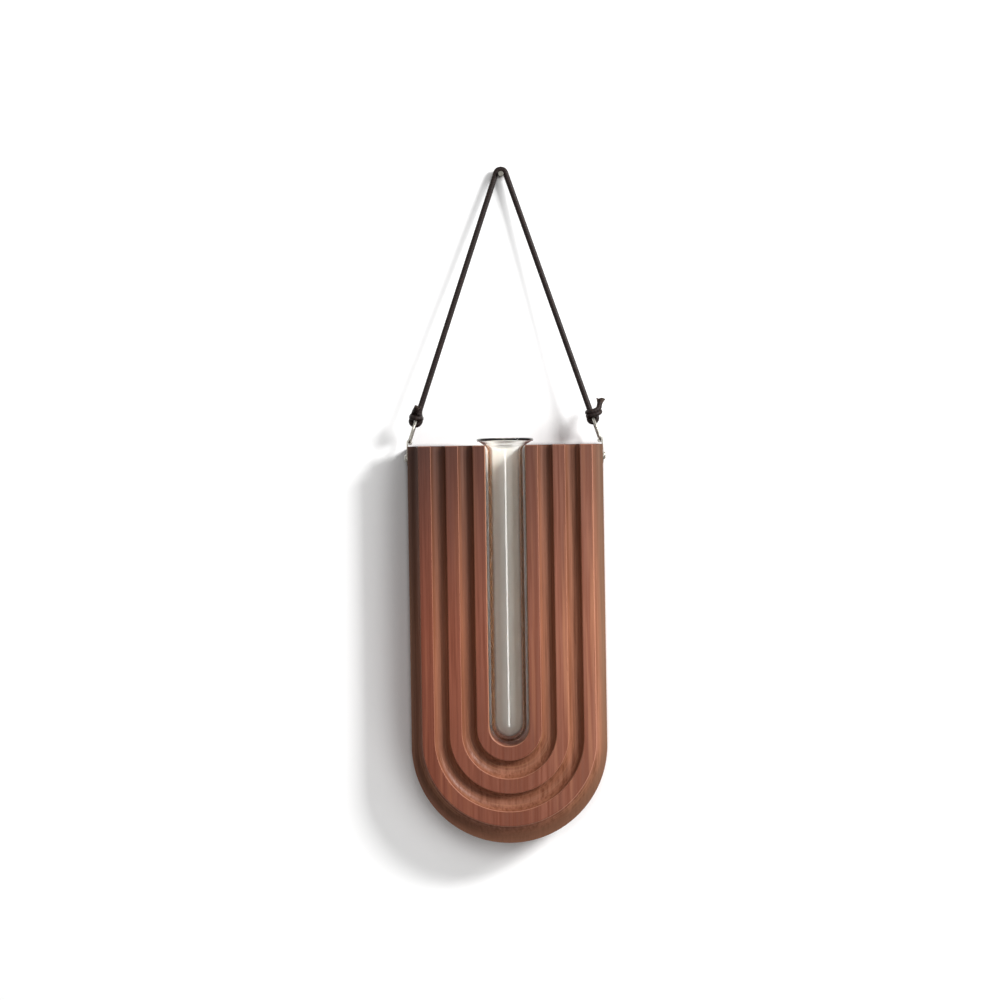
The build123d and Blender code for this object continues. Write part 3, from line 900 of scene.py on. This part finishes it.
face = add(tree, "ShaderNodeNewGeometry").outputs
clear_side = add(tree, "ShaderNodeMath", {"operation": "MAXIMUM"},
                 _0=face["Backfacing"], _1=ray["Is Shadow Ray"])
nothing = add(tree, "ShaderNodeBsdfTransparent")
wall_mix = add(tree, "ShaderNodeMixShader", _0=clear_side.outputs[0],
               _1=front.outputs[0], _2=nothing.outputs[0])
tree.links.new(wall_mix.outputs[0], output.inputs["Surface"])
print("wall paint", WALL_WHITE, "glow", WALL_GLOW)

# %% [markdown]
# The wall itself is one large rectangle a hair behind the block's flat back, and it reaches
# down to the floor.

# %% Wall
WALL_GAP = 0.3 * MM
WALL_HALF = 2.0
FLOOR_HEIGHT = -2.0


def flat_stage(name, corners, material):
    """One flat rectangle of the stage; its corners run anticlockwise as seen."""
    mesh = bpy.data.meshes.new(name)
    mesh.from_pydata(corners, [], [(0, 1, 2, 3)])
    mesh.materials.append(material)
    made = bpy.data.objects.new(name, mesh)
    bpy.context.collection.objects.link(made)
    return made


wall = flat_stage("wall_face", [
    (-WALL_HALF, WALL_GAP, FLOOR_HEIGHT),
    (WALL_HALF, WALL_GAP, FLOOR_HEIGHT),
    (WALL_HALF, WALL_GAP, WALL_HALF),
    (-WALL_HALF, WALL_GAP, WALL_HALF),
], white_wall)
print("wall at y", WALL_GAP)

# %% [markdown]
# The floor is a larger rectangle, pale and slightly mottled. It is far below the picture.

# %% Floor
pale_floor, tree, output = new_material("pale_floor")
spots = add(tree, "ShaderNodeTexCoord").outputs["Object"]
mottle = add(tree, "ShaderNodeTexNoise", Vector=spots, Scale=3.0, Detail=3.0)
shade = lay_colour(tree, "#E4E2DE", "#EDECE9", mottle.outputs[0])
surface = add(tree, "ShaderNodeBsdfPrincipled", Base_Color=shade, Roughness=0.7)
tree.links.new(surface.outputs[0], output.inputs["Surface"])
floor = flat_stage("floor", [
    (-3 * WALL_HALF, -3 * WALL_HALF, FLOOR_HEIGHT),
    (3 * WALL_HALF, -3 * WALL_HALF, FLOOR_HEIGHT),
    (3 * WALL_HALF, 3 * WALL_HALF, FLOOR_HEIGHT),
    (-3 * WALL_HALF, 3 * WALL_HALF, FLOOR_HEIGHT),
], pale_floor)
print("floor at z", FLOOR_HEIGHT)

# %% [markdown]
# ## The light
# One soft light stands high on the right and throws the shadow down to the left. Its
# direction is worked out from the block's shadow in the picture, and its size from how
# soft the shadow's edge is. A second one farther to the right brightens the right halves
# of the ridges. A tall narrow light just beside the camera fills the coves and draws the
# bright line down the middle of the glass. Two lights behind the wall's plane show the back
# of the object in the views from there. The white world fills the rest.

# %% Lights
MIDDLE = point(0, -15, -235)  # of the block


def soft_light(name, direction, distance, wide, high, watts):
    """A rectangle of light, in metres and watts, that looks at the object."""
    data = bpy.data.lights.new(name, "AREA")
    data.shape = "RECTANGLE"
    data.size = wide
    data.size_y = high
    data.energy = watts
    lamp = bpy.data.objects.new(name, data)
    towards = Vector(direction).normalized()
    lamp.location = MIDDLE + towards * distance
    lamp.rotation_euler = towards.to_track_quat("Z", "Y").to_euler()
    lamp.visible_camera = False
    bpy.context.collection.objects.link(lamp)


for name, direction, distance, wide, high, watts in (
        ("key_softbox", (0.633, -0.604, 0.485), 1.12, 0.22, 0.22, 11.7),
        ("strip_by_the_camera", (0.0, -1.0, 0.08), 1.45, 0.24, 1.1, 4.0),
        ("side_softbox", (0.80, -0.47, 0.45), 1.4, 0.25, 0.25, 9.7),
        ("back_left", (-0.7, 0.7, 0.3), 1.5, 0.6, 0.6, 8.0),
        ("back_right", (0.7, 0.7, 0.4), 1.5, 0.6, 0.6, 8.0)):
    soft_light(name, direction, distance, wide, high, watts)
    print(name, watts, "W at", distance, "m")

# %% [markdown]
# The world is fully white where it is seen, in reflections and through the glass, and much
# dimmer as a light on matt surfaces, so that the shadows keep their depth.

# %% World
WORLD_LIGHT = 0.15
world = bpy.data.worlds.new("studio")
world.use_nodes = True
sky_tree = world.node_tree
sky_tree.nodes.clear()
ray = add(sky_tree, "ShaderNodeLightPath").outputs
white = add(sky_tree, "ShaderNodeMapRange", Value=sees_white(sky_tree, ray),
            To_Min=WORLD_LIGHT, To_Max=1.0)
sky = add(sky_tree, "ShaderNodeBackground", Strength=white.outputs[0])
add(sky_tree, "ShaderNodeOutputWorld", Surface=sky.outputs[0])
bpy.context.scene.world = world
bpy.context.scene.view_settings.view_transform = "Standard"
print("world light", WORLD_LIGHT)
